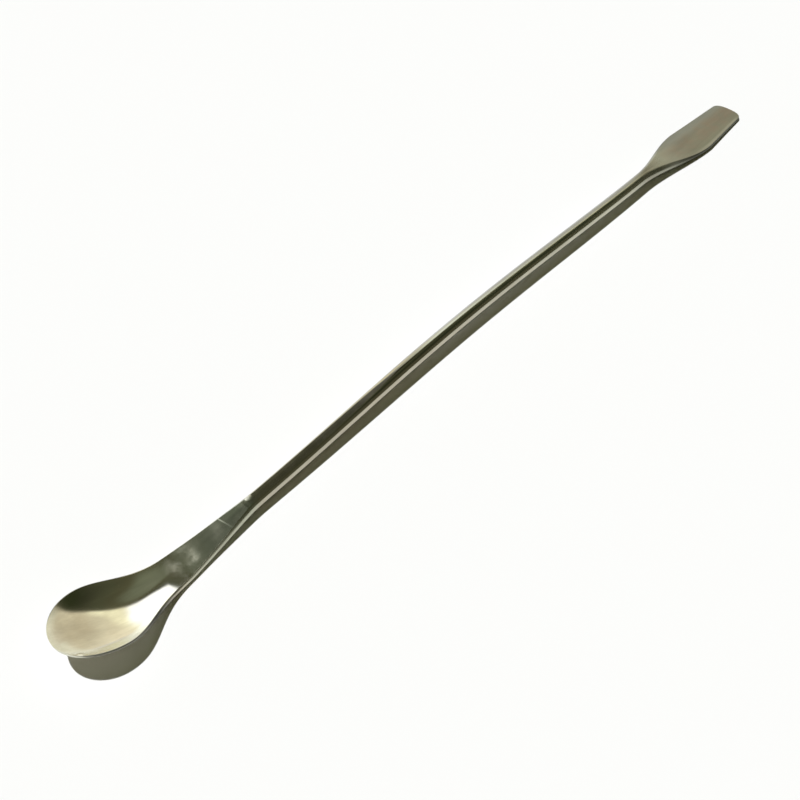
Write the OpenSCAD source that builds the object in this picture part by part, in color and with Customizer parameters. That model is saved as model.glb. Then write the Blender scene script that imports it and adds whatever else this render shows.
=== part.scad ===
// Lab spatula pressed from one round steel rod: a scoop at one end, a flat blade at the other.
// It lies along X as it rests on a bench, the scoop's tip at -X and the blade's end at +X.
// Every section is the rod's round, squeezed between two flat dies and widened, and in the
// scoop bent up at both sides. The origin is the middle of its footprint, on the bench.

/* [Rod] */
// Overall length, from the scoop's tip to the blade's end
length = 200; // [150:1:300]
// Diameter of the rod that the scoop and the blade are pressed from
rod_d = 2.9; // [2.4:0.1:5]
// Height of the long upward curve between the scoop's heel and the blade's end
rod_rise = 1.3; // [0:0.1:4]
// Sideways bow in the middle of the rod, left by handling
rod_bow = 1.05; // [0:0.05:4]

/* [Scoop] */
// Width of the scoop where it is widest, between the middles of its two edges
scoop_w = 14.4; // [9:0.1:24]
// Thickness of the sheet that the scoop is pressed to
scoop_t = 0.7; // [0.5:0.05:1.1]
// Thickness that the sheet is ground down to at the rim, as far back as the widest place
rim_t = 0.4; // [0.3:0.05:0.7]
// Distance from the tip to the widest place
scoop_nose = 9; // [6:0.1:12]
// Distance behind the widest place over which the sides draw in
scoop_draw = 8.3; // [5:0.1:12]
// Distance from the tip to the heel, where the scoop runs out into the flat neck
scoop_len = 25; // [20:0.1:40]
// Height of the rim at the tip, above the bench
rim_h = 6.4; // [3:0.1:10]
// Distance from the tip over which the rim stays level before it runs down to the neck
rim_level = 0; // [0:0.1:6]
// Distance from the tip over which the floor turns up to the rim
floor_curl = 19.5; // [10:0.1:21]
// How late the floor turns up: 1 is a straight ramp, more is flatter at first
floor_power = 2; // [1.2:0.1:4]
// How late the sides turn up at the widest place: 2 is a parabola, more is flatter in the middle
side_power = 2.5; // [1.8:0.1:4]
// How late the sides turn up at the heel, where the scoop narrows to a groove
heel_power = 1.2; // [1.1:0.1:3]
// How much the sides ease off again toward the rim: 0 not at all
side_ease = 0.25; // [0:0.05:0.5]
// Distance behind the heel over which the sole leaves the bench
heel_lift = 12; // [4:0.5:20]

/* [Neck] */
// Length of the flat neck, from the scoop's heel to the dies' edge on the rod
neck_len = 16; // [8:0.1:40]
// Width of the neck at the scoop's heel
neck_w = 6.7; // [4:0.1:8.5]
// Thickness of the neck at the scoop's heel
neck_t = 1.15; // [0.8:0.05:2]
// How late the neck thickens toward the dies' edge: 1 is a straight wedge
neck_power = 1.3; // [1:0.1:3]
// Thickness between the two flats where they end at the dies' edge
dies_t = 2.36; // [1.5:0.02:2.38]
// Length of the small step up at the dies' edge
step_len = 1; // [0.3:0.1:3]
// Thickness between the faint flats that run on along the rod past the dies' edge
run_t = 2.42; // [2.4:0.02:2.9]
// Distance past the dies' edge over which those flats run out
run_len = 40; // [10:1:60]

/* [Blade] */
// Length over which the rod flattens and spreads to the blade's shoulders
flare_len = 22; // [10:0.5:40]
// Distance from the shoulders to the blade's end
blade_len = 17.2; // [8:0.1:40]
// Width of the blade at its shoulders
blade_w = 9.4; // [5.5:0.1:14]
// Width of the blade just before its rounded end
blade_end_w = 7.3; // [4:0.1:14]
// Thickness of the blade
blade_t = 0.8; // [0.5:0.05:1.5]
// Length over which the blade's end is rounded off
end_round = 2.1; // [0.8:0.1:4]
// How square the rounded end is: 2 is an ellipse, more is squarer
end_power = 2.7; // [2:0.1:5]
// How far the left shoulder lies nearer the rod, and the right one nearer the end
shoulder_skew = 1.5; // [0:0.1:3]
// How far the middle of the blade lies to the left of the rod's middle
blade_shift = 0.2; // [-1:0.05:1]

/* [Hidden] */
rod_r = rod_d / 2;
// Stations along the length, measured from the scoop's tip
dies_x = scoop_len + neck_len;
step_x = dies_x - step_len;
shoulder_x = length - blade_len;
flare_x = shoulder_x - flare_len;
round_x = length - end_round;
// Height that the rim climbs above the flat neck's level
rim_climb = rim_h - scoop_t;
// Width left straight at the very tip, and part of the blade's end left straight
tip_w = 0.6;
end_straight = 0.3;
// How gradually the neck's sides leave the heel and join the rod, and how far past the dies' edge
neck_soft = 0.01;
join_len = 6;
// How close to the rim the sheet is ground thinner
ground_power = 4;
// The rod's curve is a parabola from the heel, and the blade runs on straight to the bench
curve_x = flare_x - scoop_len;
curve_span = curve_x * (curve_x + 2 * (length - flare_x)) / (length - scoop_len);
// Steps round each pressed edge and across each pressed face, and the widest angle of an edge
edge_n = 6;
face_n = 11;
edge_max = 55;

// A smooth step from 0 to 1 with level ends
function ease(u) = let (v = max(0, min(1, u))) v * v * (3 - 2 * v);
function blend(a, b, u) = a + (b - a) * ease(u);
function clamp(u) = max(0, min(1, u));
// A straight climb from 0 to 1 with a rounded start and end
function rise(u) = (u + sqrt(u * u + neck_soft)) / 2;
function ramp(u) = rise(u) - rise(u - 1);

// Thickness between the two die faces: scoop, neck, step, flats that run out, rod, blade
function thickness(x) =
    x < scoop_len ? blend(scoop_t, neck_t, (x - scoop_nose) / (scoop_len - scoop_nose))
    : x < step_x ? neck_t + (dies_t - neck_t) * pow((x - scoop_len) / (step_x - scoop_len), neck_power)
    : x < dies_x ? blend(dies_t, run_t, (x - step_x) / step_len)
    : x < flare_x ? run_t + (rod_d - run_t) * pow(clamp((x - dies_x) / run_len), 2)
    : blend(rod_d, blade_t, (x - flare_x) / flare_len);

// Outline of the scoop and neck: half an ellipse at the nose, then a bell curve on the neck
function scoop_half(x) =
    x < scoop_nose ? max(tip_w / 2, scoop_w / 2 * sqrt(1 - pow(1 - x / scoop_nose, 2)))
    : let (neck = neck_w / 2 + (rod_r - neck_w / 2) * ramp((x - scoop_len) / neck_len))
      neck + (scoop_w / 2 - neck) * exp(-pow((x - scoop_nose) / scoop_draw, 2));

// Outline of the blade: a smooth flare, straight tapering sides and a rounded end
function blade_half(x) =
    let (sides = blade_w / 2 + (blade_end_w - blade_w) / 2 * (x - shoulder_x) / (round_x - shoulder_x))
    x < shoulder_x ? blend(rod_r, blade_w / 2, (x - flare_x) / flare_len)
    : x < round_x ? sides
    : sides * max(end_straight, pow(1 - pow((x - round_x) / end_round, end_power), 1 / end_power));

// Half width at a station: side is 1 on the left and -1 on the right, for the skewed shoulders
function half_width(x, side) =
    let (lead = ease((x - flare_x) / flare_len) * (1 - ease((x - shoulder_x) / (round_x - shoulder_x))))
    x < flare_x ? scoop_half(x) : blade_half(x + side * shoulder_skew * lead);

// Height of the underside above the bench
function curve_z(x) =
    let (v = max(0, x - scoop_len) / curve_span)
    rod_rise * 4 * v * (1 - v) * ease((x - scoop_len) / heel_lift);
function sole_z(x) =
    x < flare_x ? curve_z(x) + rim_climb * pow(max(0, 1 - x / floor_curl), floor_power)
    : curve_z(flare_x) * (length - x) / (length - flare_x);

// How far the rim stands above the middle of the scoop's floor
function dish(x) = max(0, rim_climb * (1 - ease((x - rim_level) / (scoop_len - rim_level))) - sole_z(x));

// Sideways place of the middle
function mid_y(x) =
    rod_bow * (1 - cos(360 * clamp((x - dies_x) / (flare_x - dies_x)))) / 2
    + blend(0, blade_shift, (x - flare_x) / flare_len);

// How far the sides have turned up at a part u of the half width, and the slope of that
function side_q(x) = side_power + (heel_power - side_power) * (x - scoop_nose) / (scoop_len - scoop_nose);
function turn_up(u, q) = pow(u, q) * (1 + side_ease * (1 - u * u));
function turn_slope(u, q) =
    q * pow(u, q - 1) * (1 + side_ease * (1 - u * u)) - 2 * side_ease * pow(u, q + 1);

// Thickness at the section's edges: the ground rim, and past the heel the full thickness
function edge_t(x) =
    x < scoop_len ? blend(rim_t, neck_t, (x - scoop_nose) / (scoop_len - scoop_nose)) : thickness(x);

// Angles round a section, counted from its left edge: edge, top face, edge, bottom face
function section_angles(t) =
    let (
        edge = min(edge_max, asin(min(1, t / rod_d))),
        half = concat(
            [for (i = [0 : edge_n]) edge * (2 * i / edge_n - 1)],
            [for (i = [1 : face_n - 1]) acos(cos(edge) * (1 - 2 * i / face_n))]
        )
    )
    concat(half, [for (a = half) a + 180]);

// One section: the rod's round cut off by the die faces, spread to the width and bent to the dish
function section(x) =
    let (t = thickness(x), rim = edge_t(x), d = dish(x), q = side_q(min(x, scoop_len)))
    [for (a = section_angles(rim))
        let (
            c = cos(a),
            u = abs(c),
            half = half_width(x, sign(c)),
            sheet = (t + (rim - t) * pow(u, ground_power)) / 2,
            cut = max(-sheet, min(sheet, rod_r * sin(a))),
            tilt = atan(d * turn_slope(u, q) * sign(c) / half)
        )
        [
            x - length / 2,
            mid_y(x) + half * c - sin(tilt) * cut,
            sole_z(x) + t / 2 + d * turn_up(u, q) + cos(tilt) * cut
        ]
    ];

// Stations from a to b in n steps, without a itself
function steps(a, b, n) = [for (i = [1 : n]) a + (b - a) * i / n];

stations = concat(
    [for (a = [0 : 6 : 90]) scoop_nose * (1 - cos(a))],
    steps(scoop_nose, scoop_len, 18),
    steps(scoop_len, step_x, 14),
    steps(step_x, dies_x, 5),
    steps(dies_x, dies_x + join_len, 6),
    steps(dies_x + join_len, flare_x, 15),
    steps(flare_x, shoulder_x, 14),
    steps(shoulder_x, round_x, 7),
    [for (a = [10 : 10 : 70]) round_x + end_round * pow(sin(a), 2 / end_power)],
    [length]
);

// A closed skin over the sections, with both ends capped
module loft(sections) {
    rings = len(sections);
    n = len(sections[0]);
    cap = edge_n / 2;
    skin = [
        for (j = [0 : rings - 2], i = [0 : n - 1])
            let (a = j * n + i, b = j * n + (i + 1) % n)
            each [[a, a + n, b], [b, a + n, b + n]]
    ];
    near = [for (i = [1 : n - 2]) [cap, (cap + i) % n, (cap + i + 1) % n]];
    far = [for (f = near) [for (i = [2 : -1 : 0]) f[i] + (rings - 1) * n]];
    polyhedron(points = [for (s = sections) each s], faces = concat(skin, near, far));
}

module spatula() {
    color("#8c8774") loft([for (x = stations) section(x)]);
}

spatula();
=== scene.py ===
import bpy
import numpy as np
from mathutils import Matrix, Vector


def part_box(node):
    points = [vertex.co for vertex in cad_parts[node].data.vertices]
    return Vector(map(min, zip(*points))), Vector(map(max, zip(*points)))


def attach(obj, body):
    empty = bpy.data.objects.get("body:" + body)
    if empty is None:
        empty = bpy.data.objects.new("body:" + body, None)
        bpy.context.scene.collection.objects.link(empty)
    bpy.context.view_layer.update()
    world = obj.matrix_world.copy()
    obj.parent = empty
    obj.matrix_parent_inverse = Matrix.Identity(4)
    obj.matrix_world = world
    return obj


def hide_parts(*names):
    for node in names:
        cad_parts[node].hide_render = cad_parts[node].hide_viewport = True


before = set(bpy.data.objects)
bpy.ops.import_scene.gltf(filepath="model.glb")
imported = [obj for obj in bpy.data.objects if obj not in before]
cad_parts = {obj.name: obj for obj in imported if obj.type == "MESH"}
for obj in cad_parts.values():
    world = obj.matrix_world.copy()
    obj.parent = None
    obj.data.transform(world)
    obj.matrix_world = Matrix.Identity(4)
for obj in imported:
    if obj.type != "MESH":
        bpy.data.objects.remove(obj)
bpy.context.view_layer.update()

# ------------------------------------------------------------------ spatula
# One length of round stainless rod. Its ends are squeezed between flat dies, one is then pressed
# into a scoop and the other ground to a thin blade, and the whole is brushed and polished.

# Sizes in mm, counted from the scoop's tip, as in the pressed part itself
low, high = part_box("spatula")
MM = 0.001
LENGTH = (high.x - low.x) / MM
ROD_D = 2.9
ROD_RISE = 1.3  # height of the rod's long upward curve
ROD_BOW = 1.05  # its sideways bow, left by handling
SCOOP_W = 14.4
SCOOP_T = 0.7
RIM_T = 0.4  # thickness that the rim is ground down to
GROUND_TIP = 5.0  # distance from the tip over which the sheet is ground thin right across
GROUND_POWER = 4  # how close to the rim the rest of the sheet is ground thin
SCOOP_NOSE = 9.0  # distance from the tip to the widest place
SCOOP_DRAW = 8.3  # distance behind it over which the sides draw in
SCOOP_LEN = 25.0
RIM_H = 6.4  # height of the rim at the tip
RIM_LEVEL = 0.0  # distance over which it stays level
FLOOR_CURL = 19.5  # distance from the tip over which the floor turns up
FLOOR_POWER = 2.0  # how late the floor turns up
SIDE_POWER = 2.5  # how late the sides turn up at the widest place
HEEL_POWER = 1.2  # and at the heel
SIDE_EASE = 0.25  # how much the sides ease off again toward the rim
HEEL_LIFT = 12.0  # distance behind the heel over which the sole leaves the bench
NECK_LEN = 16.0
NECK_W = 6.7
NECK_T = 1.15
NECK_SOFT = 0.01  # how gradually the neck's sides leave the heel and join the rod
NECK_POWER = 1.3  # how late the neck thickens
DIES_T = 2.36  # thickness at the dies' edge
STEP_LEN = 1.0  # length of the small step up there
RUN_T = 2.42  # thickness between the faint flats that run on along the rod
RUN_LEN = 40.0
FLARE_LEN = 22.0
BLADE_LEN = 17.2
BLADE_W = 9.4
BLADE_END_W = 7.3
BLADE_T = 0.8
END_ROUND = 2.1  # length over which the blade's end is rounded
END_POWER = 2.7  # how square that end is
SHOULDER_SKEW = 1.5  # how far the left shoulder lies nearer the rod, and the right one further
BLADE_SHIFT = 0.2  # how far the blade's middle lies to the left

ROD_R = ROD_D / 2
DIES_X = SCOOP_LEN + NECK_LEN
STEP_X = DIES_X - STEP_LEN
SHOULDER_X = LENGTH - BLADE_LEN
FLARE_X = SHOULDER_X - FLARE_LEN
ROUND_X = LENGTH - END_ROUND
RIM_CLIMB = RIM_H - SCOOP_T
CURVE_X = FLARE_X - SCOOP_LEN
CURVE_SPAN = CURVE_X * (CURVE_X + 2 * (LENGTH - FLARE_X)) / (LENGTH - SCOOP_LEN)


def ease(u):
    """A smooth step from 0 to 1 with level ends: 3u^2 - 2u^3."""
    u = np.clip(u, 0, 1)
    return u * u * (3 - 2 * u)


def blend(a, b, u):
    """From a to b along the smooth step."""
    return a + (b - a) * ease(u)


def thickness(x):
    """Thickness between the die faces: scoop, wedge of the neck, step, flats that run out
    on the rod with the square of the distance, and blade."""
    scoop = blend(SCOOP_T, NECK_T, (x - SCOOP_NOSE) / (SCOOP_LEN - SCOOP_NOSE))
    wedge = np.clip((x - SCOOP_LEN) / (STEP_X - SCOOP_LEN), 0, 1)
    neck = NECK_T + (DIES_T - NECK_T) * wedge**NECK_POWER
    step = blend(DIES_T, RUN_T, (x - STEP_X) / STEP_LEN)
    rod = RUN_T + (ROD_D - RUN_T) * np.clip((x - DIES_X) / RUN_LEN, 0, 1) ** 2
    blade = blend(ROD_D, BLADE_T, (x - FLARE_X) / FLARE_LEN)
    return np.select(
        [x < SCOOP_LEN, x < STEP_X, x < DIES_X, x < FLARE_X], [scoop, neck, step, rod], blade
    )


def edge_thickness(x):
    """Thickness at the edges: the scoop's rim is ground thin, the rest is as thick as its middle."""
    rim = blend(RIM_T, NECK_T, (x - SCOOP_NOSE) / (SCOOP_LEN - SCOOP_NOSE))
    return np.where(x < SCOOP_LEN, rim, thickness(x))


def climb(v):
    """A straight climb from 0 to 1, its start and end rounded as half of v + sqrt(v^2 + soft)."""
    return (v + np.sqrt(v * v + NECK_SOFT) - (v - 1) - np.sqrt((v - 1) ** 2 + NECK_SOFT)) / 2


def half_width(x, side):
    """Half an ellipse at the nose, a bell curve on the straight neck, then the blade's flare,
    its straight tapering sides and its rounded end, each side skewed along the length."""
    nose = SCOOP_W / 2 * np.sqrt(np.clip(1 - (1 - x / SCOOP_NOSE) ** 2, 0, 1))
    neck = NECK_W / 2 + (ROD_R - NECK_W / 2) * climb((x - SCOOP_LEN) / NECK_LEN)
    scoop = neck + (SCOOP_W / 2 - neck) * np.exp(-(((x - SCOOP_NOSE) / SCOOP_DRAW) ** 2))
    lead = ease((x - FLARE_X) / FLARE_LEN) * (1 - ease((x - SHOULDER_X) / (ROUND_X - SHOULDER_X)))
    s = x + side * SHOULDER_SKEW * lead
    flare = blend(ROD_R, BLADE_W / 2, (s - FLARE_X) / FLARE_LEN)
    taper = (s - SHOULDER_X) / (ROUND_X - SHOULDER_X)
    sides = BLADE_W / 2 + (BLADE_END_W - BLADE_W) / 2 * taper
    u = np.clip((s - ROUND_X) / END_ROUND, 0, 1)
    end = sides * (1 - u**END_POWER) ** (1 / END_POWER)
    return np.select(
        [x < SCOOP_NOSE, x < FLARE_X, s < SHOULDER_X, s < ROUND_X],
        [nose, scoop, flare, sides],
        end,
    )


def sole(x):
    """Height of the underside: the floor's upturn at the tip, a parabola under the rod that
    starts gently at the heel, and a straight run of the blade down to the bench."""
    v = np.maximum(x - SCOOP_LEN, 0) / CURVE_SPAN
    v_end = CURVE_X / CURVE_SPAN
    curve = ROD_RISE * 4 * v * (1 - v) * ease((x - SCOOP_LEN) / HEEL_LIFT)
    upturn = RIM_CLIMB * np.clip(1 - x / FLOOR_CURL, 0, 1) ** FLOOR_POWER
    run = ROD_RISE * 4 * v_end * (1 - v_end) * (LENGTH - x) / (LENGTH - FLARE_X)
    return np.where(x < FLARE_X, curve + upturn, run)


def dish(x):
    """How far the rim stands above the middle of the floor."""
    rim = RIM_CLIMB * (1 - ease((x - RIM_LEVEL) / (SCOOP_LEN - RIM_LEVEL)))
    return np.clip(rim - sole(x), 0, None)


def bow(x):
    """Sideways place of the middle: one raised cosine along the rod, and the blade's shift."""
    u = np.clip((x - DIES_X) / (FLARE_X - DIES_X), 0, 1)
    shift = blend(0, BLADE_SHIFT, (x - FLARE_X) / FLARE_LEN)
    return ROD_BOW * (1 - np.cos(2 * np.pi * u)) / 2 + shift


# Steps round each pressed edge and across each pressed face, and the widest half angle of an
# edge. A face is stepped by the sine of an even angle, closer together toward its edges.
EDGE_STEPS, FACE_STEPS = 14, 34
EDGE_MAX = np.radians(75)
face_share = np.sin(np.linspace(1, -1, FACE_STEPS + 1)[1:-1] * np.pi / 2)


def spatula_grid(x):
    """Points of the skin, station by angle: the rod's circle cut off by the two die faces,
    ground thin toward the rim, spread to the local width and bent up at the sides."""
    t, rim = thickness(x)[:, None], edge_thickness(x)[:, None]
    edge = np.minimum(np.arcsin(np.clip(rim / ROD_D, 0, 1)), EDGE_MAX)
    arc = edge * np.linspace(-1, 1, EDGE_STEPS + 1)[None]
    face = np.arccos(np.cos(edge) * face_share[None])
    a = np.concatenate([arc, face, arc + np.pi, face + np.pi], axis=1)
    c, s = np.cos(a), np.sin(a)
    half = np.where(c > 0, half_width(x, 1)[:, None], half_width(x, -1)[:, None])
    u = np.abs(c)
    full = rim + (t - rim) * ease(x / GROUND_TIP)[:, None]
    sheet = (full + (rim - full) * u**GROUND_POWER) / 2
    cut = np.clip(ROD_R * s, -sheet, sheet)
    d = dish(x)[:, None]
    to_heel = (np.minimum(x, SCOOP_LEN) - SCOOP_NOSE) / (SCOOP_LEN - SCOOP_NOSE)
    q = (SIDE_POWER + (HEEL_POWER - SIDE_POWER) * to_heel)[:, None]
    eased = 1 + SIDE_EASE * (1 - u * u)
    turn_up = u**q * eased
    slope = q * u ** (q - 1) * eased - 2 * SIDE_EASE * u ** (q + 1)
    tilt = np.arctan(d * slope * np.sign(c) / half)
    y = bow(x)[:, None] + half * c - np.sin(tilt) * cut
    z = sole(x)[:, None] + t / 2 + d * turn_up + np.cos(tilt) * cut
    return np.stack([np.broadcast_to(x[:, None] - LENGTH / 2, y.shape), y, z], axis=-1)


def stations():
    """Where the sections stand: by even angles round the nose and the blade's end, and evenly
    between the places where one shape gives way to the next."""
    nose_angles = np.radians(np.linspace(1, 90, 60))
    end_angles = np.radians(np.linspace(4, 88, 24))
    nose = SCOOP_NOSE * (1 - np.cos(nose_angles))
    end = ROUND_X + END_ROUND * np.sin(end_angles) ** (2 / END_POWER)
    runs = [  # from, to and number of steps
        (SCOOP_NOSE, SCOOP_LEN, 110),
        (SCOOP_LEN, STEP_X, 90),
        (STEP_X, DIES_X, 24),
        (DIES_X, FLARE_X, 120),
        (FLARE_X, SHOULDER_X, 90),
        (SHOULDER_X, ROUND_X, 60),
    ]
    return np.concatenate([nose] + [np.linspace(a, b, n + 1)[1:] for a, b, n in runs] + [end])


# The finishes follow the sections, station by angle. A point's place across its section counts
# from 1 at the left edge to -1 at the right one.
edge_share = np.ones(EDGE_STEPS + 1)
across = np.concatenate([edge_share, face_share, -edge_share, -face_share])
on_face = np.concatenate([0 * edge_share, np.ones(FACE_STEPS - 1)] * 2)
# The lip on the left side and on the right: where it starts, as a share of the way out from the
# scoop's middle, and the place in mm where it starts to fade out and over how many mm it does
LIP_FROM, LIP_SOFT = (0.84, 0.72), 0.14
LIP_UNTIL, LIP_FADE = (3.5, 14), (2, 8)
BLADE_LIP_FROM, BLADE_LIP_SOFT = 0.78, 0.12
# Painted shade and a painted cool reflection cover the rod's left side and its middle, and are
# gone by the end share below on the right side. The flats are spared fully from SPARED_FROM
# leftward.
PAINTED_SIDE_END, PAINTED_SIDE_SOFT, SPARED_FROM = -0.6, 0.5, 0.4
painted_side = ease((across - PAINTED_SIDE_END) / PAINTED_SIDE_SOFT)


def profile(x, *stops):
    """Straight from stop to stop, each a place in mm from the tip and the value there."""
    return np.interp(x, *np.transpose(stops))[:, None]


def polished_lip(x):
    """A painted highlight: 1 on the last millimetre of the scoop's face before the rim, by the
    share of the way out from its middle. It fades out along both sides and is fainter on the
    blade's right edge."""
    left = across > 0
    mm = x[:, None]
    wide = np.clip(half_width(x, 1) / (SCOOP_W / 2), 0, 1)[:, None] * np.abs(across)
    ahead = np.clip(1 - mm / SCOOP_NOSE, 0, 1)
    outward = np.where(mm < SCOOP_NOSE, np.sqrt(ahead**2 + wide**2), np.abs(across))
    lip = ease((outward - np.where(left, *LIP_FROM)) / LIP_SOFT)
    fade = 1 - ease((mm - np.where(left, *LIP_UNTIL)) / np.where(left, *LIP_FADE))
    blade_lip = ease((-across - BLADE_LIP_FROM) / BLADE_LIP_SOFT)
    return lip * fade + blade_lip * profile(x, (178, 0), (184, 0.2), (197, 0.2), (199, 0))


def side_haze(x):
    """1 on the left side of the rod, from near its middle up to the blade's flare: a painted cool
    reflection.
    """
    return painted_side * profile(x, (78, 0), (94, 1), (156, 1), (163, 0))


def die_print(x):
    """How much light is lost: to the dies' print and to painted shade on the flats, less on their
    left side, and to painted shade toward the blade on the left side of the rod."""
    print_and_shade = profile(x, (21, 0), (27, 0.22), (31, 0.46), (40, 0.50), (43, 0.40), (60, 0.42),
                      (70, 0.52), (81, 0.6), (92, 0))
    spared = profile(x, (31, 0.15), (37, 0.5), (55, 0.5), (70, 0.1))
    painted_side_shade = profile(x, (100, 0), (120, 0.16), (152, 0.24), (163, 0.3), (170, 0))
    spared_side = np.clip(across / SPARED_FROM, 0, 1)
    return print_and_shade * on_face * (1 - spared * spared_side) + painted_side_shade * painted_side


def skin_mesh(name, grid, thin, finishes):
    """A closed skin over the sections, with a fan at each end. Its points on the two edges
    carry thin, which is 1 where the section is sheet and 0 where it is rod, as ground_edge.
    All carry the finishes by their names, 0 at the fans' middles. The corners of the sheet's
    edges are marked sharp."""
    rings, n = grid.shape[:2]
    first, last = grid[0].mean(axis=0), grid[-1].mean(axis=0)
    points = np.concatenate([grid.reshape(-1, 3), first[None], last[None]])
    j, i = np.meshgrid(np.arange(rings - 1), np.arange(n), indexing="ij")
    a, b = j * n + i, j * n + (i + 1) % n
    quads = np.stack([a, b, b + n, a + n], axis=-1).reshape(-1, 4)
    k = np.arange(n)
    k_next = (k + 1) % n
    end_ring = (rings - 1) * n
    near = np.stack([np.full(n, rings * n), k_next, k], axis=-1)
    far = np.stack([np.full(n, rings * n + 1), end_ring + k, end_ring + k_next], axis=-1)
    mesh = bpy.data.meshes.new(name)
    mesh.from_pydata(points * MM, [], quads.tolist() + near.tolist() + far.tolist())
    mesh.polygons.foreach_set("use_smooth", np.ones(len(mesh.polygons), bool))
    shares = {label: np.append(values, [0, 0]) for label, values in finishes.items()}
    shares["ground_edge"] = np.append(np.outer(thin, k % (n // 2) <= EDGE_STEPS), [1, 1])
    for label, values in shares.items():
        attribute = mesh.attributes.new(label, "FLOAT", "POINT")
        attribute.data.foreach_set("value", values.astype(np.float32))
    ends = np.array([edge.vertices[:] for edge in mesh.edges])
    corners = np.isin(ends % n, [0, EDGE_STEPS, n // 2, n // 2 + EDGE_STEPS]) & (ends < rings * n)
    sheet = thin[np.minimum(ends // n, rings - 1)] > 0.5
    along_rim = (corners & sheet).all(axis=1) & (ends[:, 0] % n == ends[:, 1] % n)
    sharp = along_rim | (ends < n).all(axis=1)
    mesh.attributes.new("sharp_edge", "BOOLEAN", "EDGE").data.foreach_set("value", sharp)
    mesh.update()
    return mesh


# A section counts as sheet below 1.7 mm and as rod above 2.5 mm
SHEET_T, SOLID_T = 1.7, 2.5
sections = stations()
thin = np.clip((SOLID_T - thickness(sections)) / (SOLID_T - SHEET_T), 0, 1)
finishes = {
    "polished_lip": polished_lip(sections),
    "die_print": die_print(sections),
    "side_haze": side_haze(sections),
}
skin = skin_mesh("pressed_spatula", spatula_grid(sections), thin, finishes)
spatula = bpy.data.objects.new("pressed_spatula", skin)
bpy.context.scene.collection.objects.link(spatula)


def colour(hex_value):
    """An sRGB hex colour as linear red, green, blue and alpha."""
    srgb = np.array([int(hex_value[i : i + 2], 16) for i in (1, 3, 5)]) / 255
    linear = np.where(srgb <= 0.04045, srgb / 12.92, ((srgb + 0.055) / 1.055) ** 2.4)
    return (*linear.tolist(), 1.0)


def add(tree, kind, *values, **named):
    """Adds a node. Values fill its inputs in their order, keywords in lower case are its own
    settings, and other keywords are inputs by name. An input takes a number or a colour, or a
    link from a socket or from the first live output of another node."""
    node = tree.nodes.new(kind)
    for key in filter(str.islower, named):
        setattr(node, key, named[key])
    by_name = {socket.identifier.replace(" ", "_"): socket for socket in node.inputs}
    by_keyword = [(by_name[key], value) for key, value in named.items() if not key.islower()]
    for socket, value in [*zip(node.inputs, values), *by_keyword]:
        if isinstance(value, bpy.types.Node):
            value = next(output for output in value.outputs if output.enabled)
        if isinstance(value, bpy.types.NodeSocket):
            tree.links.new(value, socket)
        else:
            socket.default_value = value
    return node


def fill_ramp(ramp, stops):
    """Gives a colour ramp its stops, each a position, a red, green and blue, and an alpha."""
    elements = ramp.color_ramp.elements
    while len(elements) < len(stops):
        elements.new(0.5)
    for element, (position, rgb, alpha) in zip(elements, stops):
        element.position = position
        element.color = (*rgb, alpha)


# Brushed stainless steel, 18/8: a cool grey metal with a faint warm tarnish. The scoop is polished
# almost to a mirror over lengthwise brush lines, the neck keeps the die's uneven print, the rod
# is as drawn, and the blade is ground to a duller satin. All of that changes along the length.
POLISH = [  # mm from the tip, colour of the metal, roughness
    # The lighter first stop at the very tip is a painted highlight
    (0, "#e2e0d6", 0.11),
    (3, "#cdc8b6", 0.11),
    (20, "#cbc6b3", 0.11),
    (27, "#b8b9a6", 0.15),
    (40, "#a9ad9b", 0.15),
    (43, "#b0ab99", 0.11),
    (85, "#b0ab99", 0.12),
    (110, "#b2af9d", 0.16),
    (156, "#b4b4a1", 0.19),
    (163, "#8e8d7e", 0.24),
    (171, "#939688", 0.29),
    (180, "#7f7e72", 0.33),
    (200, "#7d7c71", 0.33),
]
TARNISH = colour("#a3957a")
BLADE_BROWN, BLADE_LEFT, BLADE_RIGHT = colour("#887a6c"), colour("#898f8d"), colour("#7f8373")
PAINTED_COOL_REFLECTION, PAINTED_LIP_HIGHLIGHT, PAINTED_GLINT = colour("#b0b2b0"), colour("#dadacc"), colour("#eeecdf")
SMOOTH = {"interpolation_type": "SMOOTHSTEP"}
TINT = {"data_type": "RGBA"}

# Places in the metal are counted in mm from the scoop's tip, as the sizes are
steel = bpy.data.materials.new("brushed_stainless_steel")
steel.use_nodes = True
tree = steel.node_tree
tree.nodes.clear()
in_metres = add(tree, "ShaderNodeTexCoord").outputs["Object"]
place = add(tree, "ShaderNodeMapping", in_metres, Location=(LENGTH / 2, 0, 0), Scale=[1 / MM] * 3)
axes = add(tree, "ShaderNodeSeparateXYZ", place).outputs
along, sideways = axes["X"], axes["Y"]
part_way = add(tree, "ShaderNodeMath", along, LENGTH, operation="DIVIDE")
polish = add(tree, "ShaderNodeValToRGB", part_way)
fill_ramp(polish, [(mm / LENGTH, colour(tone)[:3], rough) for mm, tone, rough in POLISH])

FADES = {  # what changes along the length: from and to in mm, and the values before and after
    "lines askew": (20, 30, np.radians(12), 0),
    "blade tinted": (168, 180, 0, 0.55),
    # The tip, side and blade edge fades below set painted shade on the cut edges
    "tip edge shade": (1, 3.5, 0, 0.66),
    "side edge shade": (10, 17, 0, 0.25),
    "before neck": (15, 24, 1, 0),
    "blade edge shade": (170, 179, 0, 0.6),
    "scuffs start": (21.5, 24.5, 0, 1),
    "scuffs end": (27, 29.5, 1, 0),
    "waves start": (15, 26, 0.12, 1),
    "waves end": (29, 33.5, 1, 0.15),
}
fade = {}
for name, (start, end, before, after) in FADES.items():
    fade[name] = add(tree, "ShaderNodeMapRange", along, start, end, before, after, **SMOOTH)
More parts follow.
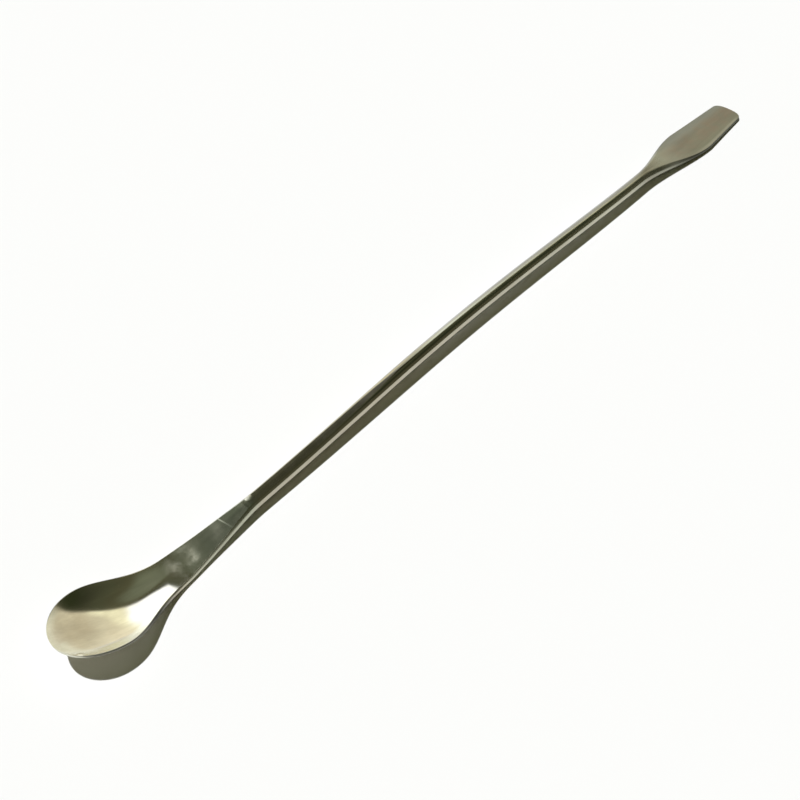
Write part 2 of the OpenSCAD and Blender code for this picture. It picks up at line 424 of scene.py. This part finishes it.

# A stain near the tip, and two burrs, on the scoop's rim and at the far corner of the dies' edge,
# whose pale colour is a painted glint
SPOTS = {  # middle, the distances from it where it is full and where it is gone, and its strength
    "stain": ((4.8, 1.6, 4.5), 1.2, 5, 0.22),
    "rim burr": ((2, -3.9, 5.7), 0.1, 0.7, 1),
    "dies burr": ((41.4, 0.8, 2.8), 0.2, 0.9, 0.6),
}
spot = {}
for name, (middle, full, gone, strength) in SPOTS.items():
    distance = add(tree, "ShaderNodeVectorMath", place, middle, operation="DISTANCE")
    spot[name] = add(tree, "ShaderNodeMapRange", distance, full, gone, strength, 0, **SMOOTH)

# Brush lines run along the rod and 12 degrees askew in the scoop. The real ones are finer than a
# picture of the whole part can show, so these are drawn coarser. Wider strokes run with them.
# Handling left dull patches everywhere and scuffs at the heel, and the die left the neck wavy.
LINES_TURN = (15, 0, 0)
turned = add(tree, "ShaderNodeVectorRotate", place, Center=LINES_TURN, Angle=fade["lines askew"],
             rotation_type="Z_AXIS")
PATTERNS = {  # what it follows, its parts' size and its shift in mm, its detail and roughness
    "lines": (turned, (7.143, 0.25, 0.25), (0, 0, 0), 3, 0.6),
    "strokes": (turned, (10, 1.667, 1.667), (0, 0, 0), 2, 0.5),
    "patches": (place, (3.03, 3.03, 3.03), (5, 0, 0), 3, 0.55),
    "scuffs": (place, (2.381, 2.381, 2.381), (-0.7, 2.4, 0), 2, 0.5),
    "waves": (place, (2.5, 2.5, 2.5), (0, 0, 0), 2, 0.5),
}
noise = {}
for name, (source, size, shift, detail, rough) in PATTERNS.items():
    start = np.subtract(shift, (LENGTH / 2, 0, 0))
    scaled = add(tree, "ShaderNodeMapping", source, Location=start / size, Scale=1 / np.array(size))
    noise[name] = add(tree, "ShaderNodeTexNoise", scaled, Scale=1, Detail=detail, Roughness=rough)

READINGS = {  # the pattern that is read, two of its levels, and the values there
    "mottling": ("patches", 0.35, 0.7, 0, 0.18),
    "blotches": ("patches", 0.4, 0.6, 0.45, 1),
    "wear": ("patches", 0.4, 0.7, -0.01, 0.03),
    "wiping": ("strokes", 0.3, 0.7, 0.96, 1.12),
    "grain": ("lines", 0.3, 0.7, 0.97, 1.03),
    "scuffing": ("scuffs", 0.42, 0.68, 0, 1),
}
read = {}
for name, (pattern, below, above, at_below, at_above) in READINGS.items():
    levels = (below, above, at_below, at_above)
    read[name] = add(tree, "ShaderNodeMapRange", noise[pattern], *levels)

# Colour: the stain and faint mottling warm the polished metal
stained = add(tree, "ShaderNodeMath", spot["stain"], read["mottling"], operation="ADD")
tarnished = add(tree, "ShaderNodeMix", stained, A_Color=polish, B_Color=TARNISH, **TINT)
# The ground blade is browner in the middle, in blotches, and a painted reflection makes it lighter
# and cooler toward its left edge
BROWN_FULL, BROWN_GONE = 0.6, 3.6
off_middle = add(tree, "ShaderNodeMath", sideways, operation="ABSOLUTE")
in_middle = add(tree, "ShaderNodeMapRange", off_middle, BROWN_FULL, BROWN_GONE, 1, 0, **SMOOTH)
browned = add(tree, "ShaderNodeMath", in_middle, read["blotches"], operation="MULTIPLY")
on_left = add(tree, "ShaderNodeMapRange", sideways, 0, BROWN_GONE, 0, 1, **SMOOTH)
sides = add(tree, "ShaderNodeMix", on_left, A_Color=BLADE_RIGHT, B_Color=BLADE_LEFT, **TINT)
blade = add(tree, "ShaderNodeMix", browned, A_Color=sides, B_Color=BLADE_BROWN, **TINT)
tinted = add(tree, "ShaderNodeMix", fade["blade tinted"], A_Color=tarnished, B_Color=blade, **TINT)
# A painted cool reflection tints the left side of the rod, and a painted highlight lightens the lip
# inside the rim
side_reflection = add(tree, "ShaderNodeAttribute", attribute_name="side_haze").outputs["Fac"]
side_reflected = add(tree, "ShaderNodeMix", side_reflection, A_Color=tinted, B_Color=PAINTED_COOL_REFLECTION, **TINT)
lip = add(tree, "ShaderNodeAttribute", attribute_name="polished_lip").outputs["Fac"]
tone = add(tree, "ShaderNodeMix", lip, A_Color=side_reflected, B_Color=PAINTED_LIP_HIGHLIGHT, **TINT)

# Light: painted shade darkens the cut edge on the blade and on the scoop from just behind the tip
# to the neck, more on the scoop's sides. The flats of the neck and rod lose light to the dies' thin
# dull print and to painted shade, and the rod's left side toward the blade to painted shade. The
# strokes and lines vary what is left.
ground = add(tree, "ShaderNodeAttribute", attribute_name="ground_edge").outputs["Fac"]
print_and_shade = add(tree, "ShaderNodeAttribute", attribute_name="die_print").outputs["Fac"]
scoop_edge = add(tree, "ShaderNodeMath", fade["tip edge shade"], fade["side edge shade"], operation="ADD")
edges = add(tree, "ShaderNodeMath", scoop_edge, fade["before neck"], fade["blade edge shade"],
            operation="MULTIPLY_ADD")
lost = add(tree, "ShaderNodeMath", ground, edges, print_and_shade, operation="MULTIPLY_ADD")
kept = add(tree, "ShaderNodeMath", 1, lost, operation="SUBTRACT")
streaks = add(tree, "ShaderNodeMath", read["wiping"], read["grain"], operation="MULTIPLY")
light = add(tree, "ShaderNodeMath", streaks, kept, operation="MULTIPLY")
base = add(tree, "ShaderNodeVectorMath", tone, Scale=light, operation="SCALE")
# The burrs' pale colour is a painted glint
burrs = add(tree, "ShaderNodeMath", spot["rim burr"], spot["dies burr"], operation="MAXIMUM")
glinted = add(tree, "ShaderNodeMix", burrs, A_Color=base, B_Color=PAINTED_GLINT, **TINT)

# Scuffs at the heel, and a scratch straight across the neck that fades from left to right
at_heel = add(tree, "ShaderNodeMath", fade["scuffs start"], fade["scuffs end"],
              operation="MULTIPLY")
scuffs = add(tree, "ShaderNodeMath", read["scuffing"], at_heel, operation="MULTIPLY")
SCRATCH_X, SCRATCH_SLANT, SCRATCH_HALF_W = 35.37, 0.138, 0.13
SCRATCH_ENDS, SCRATCH_ADDS = (-1.5, 1.2), (0.02, 0.08)  # right and left: mm, roughness added
crossing = add(tree, "ShaderNodeVectorMath", place, (1, SCRATCH_SLANT, 0), operation="DOT_PRODUCT")
scratch = add(tree, "ShaderNodeMath", crossing, SCRATCH_X, SCRATCH_HALF_W, operation="COMPARE")
scratched = add(tree, "ShaderNodeMapRange", sideways, *SCRATCH_ENDS, *SCRATCH_ADDS)
ROUGHER = [  # what roughens the polish, and by how much where it is full
    (lip, 0.12),
    (ground, 0.22),
    (read["wear"], 1),
    (scuffs, 0.09),
    (scratch, scratched),
    (burrs, 0.25),
]
rough = polish.outputs["Alpha"]
for share, added in ROUGHER:
    rough = add(tree, "ShaderNodeMath", share, added, rough, operation="MULTIPLY_ADD")

# The die's waves are strongest on the neck, and the punch left a slanting step across the heel
wavy = add(tree, "ShaderNodeMath", fade["waves start"], fade["waves end"], operation="MULTIPLY")
hollows = add(tree, "ShaderNodeMath", noise["waves"], wavy, operation="MULTIPLY")
PUNCH_FROM, PUNCH_TO, PUNCH_SLANT = 21.6, 24.8, -0.4
slanted = add(tree, "ShaderNodeVectorMath", place, (1, PUNCH_SLANT, 0), operation="DOT_PRODUCT")
punched = add(tree, "ShaderNodeMapRange", slanted, PUNCH_FROM, PUNCH_TO, 0, 1, **SMOOTH)
RELIEF = [  # what stands up from the surface, each on the one before, and by how many mm
    (punched, 0.18),
    (hollows, 0.012),
    (noise["lines"], 0.0012),
    (burrs, 0.08),
]
normal = {}
for share, tall in RELIEF:
    bump = add(tree, "ShaderNodeBump", Strength=1, Distance=tall * MM, Height=share, **normal)
    normal = {"Normal": bump}
metal = add(tree, "ShaderNodeBsdfPrincipled", Base_Color=glinted, Metallic=1, Roughness=rough, **normal)
add(tree, "ShaderNodeOutputMaterial", metal)
skin.materials.append(steel)

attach(spatula, "root")
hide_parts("spatula")

# -------------------------------------------------------------- white table
# A plain sheet of matt white card, which the spatula lies on. Its top is a hundredth of a
# millimetre lower than the spatula's sole, so that the two never share a height.
CARD_SIZE, CARD_DROP = 3000, 0.01  # in mm
half = CARD_SIZE / 2
corners = np.array([(-half, -half), (half, -half), (half, half), (-half, half)])
corners = np.insert(corners, 2, -CARD_DROP, axis=1)
card_mesh = bpy.data.meshes.new("card")
card_mesh.from_pydata(corners * MM, [], [(0, 1, 2, 3)])
card = bpy.data.objects.new("white_card", card_mesh)
bpy.context.scene.collection.objects.link(card)
matt = bpy.data.materials.new("matt_white_card")
matt.use_nodes = True
tree = matt.node_tree
tree.nodes.clear()
paper = add(tree, "ShaderNodeBsdfDiffuse", Color=colour("#f4f4f4"))
add(tree, "ShaderNodeOutputMaterial", paper)
card_mesh.materials.append(matt)

# ----------------------------------------------------------------- lighting
# One high lamp from the far left, and the room that the metal mirrors: a pale wall with a
# curtain and a window on the far side, and a dim ceiling and near side.
LAMP_TOWARD = Vector((-0.161, 0.361, 1))
lamp_data = bpy.data.lights.new("high_lamp", "SUN")
lamp_data.energy = 3.5
lamp_data.angle = np.radians(2.0)
lamp_data.color = (0.972, 0.977, 1.0)
lamp = bpy.data.objects.new("high_lamp", lamp_data)
lamp.rotation_euler = LAMP_TOWARD.to_track_quat("Z", "Y").to_euler()
bpy.context.scene.collection.objects.link(lamp)

# Light from the parts of the room. The wall's is at the floor's height and straight above.
WALL_LOW, WALL_HIGH = (1.04, 0.99, 0.83), (0.6, 0.56, 0.44)
CURTAIN, WINDOW, AMBIENT = (1.47, 1.46, 1.16), (2.0, 2.1, 2.4), (0.078, 0.077, 0.034, 1)
DIM_SIDE = [  # nearness to the pale part of the ceiling, light from there
    (0.10, (0.13, 0.13, 0.09)),
    (0.50, (0.09, 0.09, 0.06)),
    (0.63, (0.028, 0.038, 0.014)),
    (0.78, (0.060, 0.065, 0.040)),
    (0.87, (0.095, 0.105, 0.065)),
    (0.93, (0.115, 0.115, 0.068)),
    (0.96, (0.19, 0.215, 0.155)),
    (1.00, (0.235, 0.265, 0.20)),
]
TOWARD = {  # azimuth from +X toward +Y and elevation, in degrees
    "pale ceiling": (60, 75),
    "near side": (-146, 22),
    "left": (188, 19),
    "window frame": (163, 22),
}
BLEND = {"data_type": "VECTOR"}

room = bpy.data.worlds.new("dim_room")
bpy.context.scene.world = room
room.use_nodes = True
tree = room.node_tree
tree.nodes.clear()
direction = add(tree, "ShaderNodeTexCoord").outputs["Generated"]
axes = add(tree, "ShaderNodeSeparateXYZ", direction).outputs
# Nearness is the cosine of the angle between a direction and one of those above
near = {}
for name, (azimuth, elevation) in TOWARD.items():
    a, e = np.radians(azimuth), np.radians(elevation)
    unit = (np.cos(a) * np.cos(e), np.sin(a) * np.cos(e), np.sin(e))
    near[name] = add(tree, "ShaderNodeVectorMath", direction, unit, operation="DOT_PRODUCT")
JOINS = {  # where parts of the room meet: what is measured, from and to, and the values there
    "glow": (near["left"], -0.66, -0.50, 1, 1.27),
    "curtain": (near["left"], -0.49, -0.39, 0, 1),
    "window": (near["window frame"], -0.05, 0.04, 0, 1),
    "past it": (axes["X"], 0.13, 0.20, 1, 0),
    "dim side": (near["near side"], -0.345, -0.285, 0, 1),
}
join = {}
for name, (measured, *values) in JOINS.items():
    join[name] = add(tree, "ShaderNodeMapRange", measured, *values, **SMOOTH)

# The far side, from right to left: a wall that glows more near the window, a curtain's edge, the
# window, and the wall again
wall = add(tree, "ShaderNodeMix", axes["Z"], A_Vector=WALL_LOW, B_Vector=WALL_HIGH, **BLEND)
glowing = add(tree, "ShaderNodeVectorMath", wall, Scale=join["glow"], operation="SCALE")
curtained = add(tree, "ShaderNodeMix", join["curtain"], A_Vector=glowing, B_Vector=CURTAIN, **BLEND)
windowed = add(tree, "ShaderNodeMix", join["window"], A_Vector=curtained, B_Vector=WINDOW, **BLEND)
far_side = add(tree, "ShaderNodeMix", join["past it"], A_Vector=windowed, B_Vector=wall, **BLEND)
dim_side = add(tree, "ShaderNodeValToRGB", near["pale ceiling"])
fill_ramp(dim_side, [(nearness, light, 1) for nearness, light in DIM_SIDE])
seen = add(tree, "ShaderNodeMix", join["dim side"], A_Vector=far_side, B_Vector=dim_side, **BLEND)

# The metal mirrors that room, the card gets an even dim light from it, and the backdrop is white
rays = add(tree, "ShaderNodeLightPath").outputs
ambient = add(tree, "ShaderNodeBackground", AMBIENT, 1)
mirrored = add(tree, "ShaderNodeBackground", seen, 1)
white = add(tree, "ShaderNodeBackground", (1, 1, 1, 1), 1)
shiny = add(tree, "ShaderNodeMath", rays["Is Glossy Ray"], rays["Is Transmission Ray"],
            operation="MAXIMUM")
lighting = add(tree, "ShaderNodeMixShader", shiny, ambient, mirrored)
shown = add(tree, "ShaderNodeMixShader", rays["Is Camera Ray"], lighting, white)
add(tree, "ShaderNodeOutputWorld", shown)

# ------------------------------------------------------------------- camera
# Held close above the scoop's side, looking down along the rod. Its place is in mm, its heading
# counts from +Y toward +X and its dip from the level, in degrees.
CAMERA_AT = (-135.22, -102.783, 170.017)
HEADING, DIP = np.radians(48.376), np.radians(48.34)
camera_data = bpy.data.cameras.new("camera")
camera_data.lens = 54.0
camera_data.sensor_width = 36.0
camera_data.clip_start = 0.005
camera = bpy.data.objects.new("camera", camera_data)
ahead = (np.sin(HEADING) * np.cos(DIP), np.cos(HEADING) * np.cos(DIP), -np.sin(DIP))
camera.location = Vector(CAMERA_AT) * MM
camera.rotation_euler = Vector(ahead).to_track_quat("-Z", "Y").to_euler()
bpy.context.scene.collection.objects.link(camera)
bpy.context.scene.camera = camera
bpy.context.scene.view_settings.view_transform = "Standard"
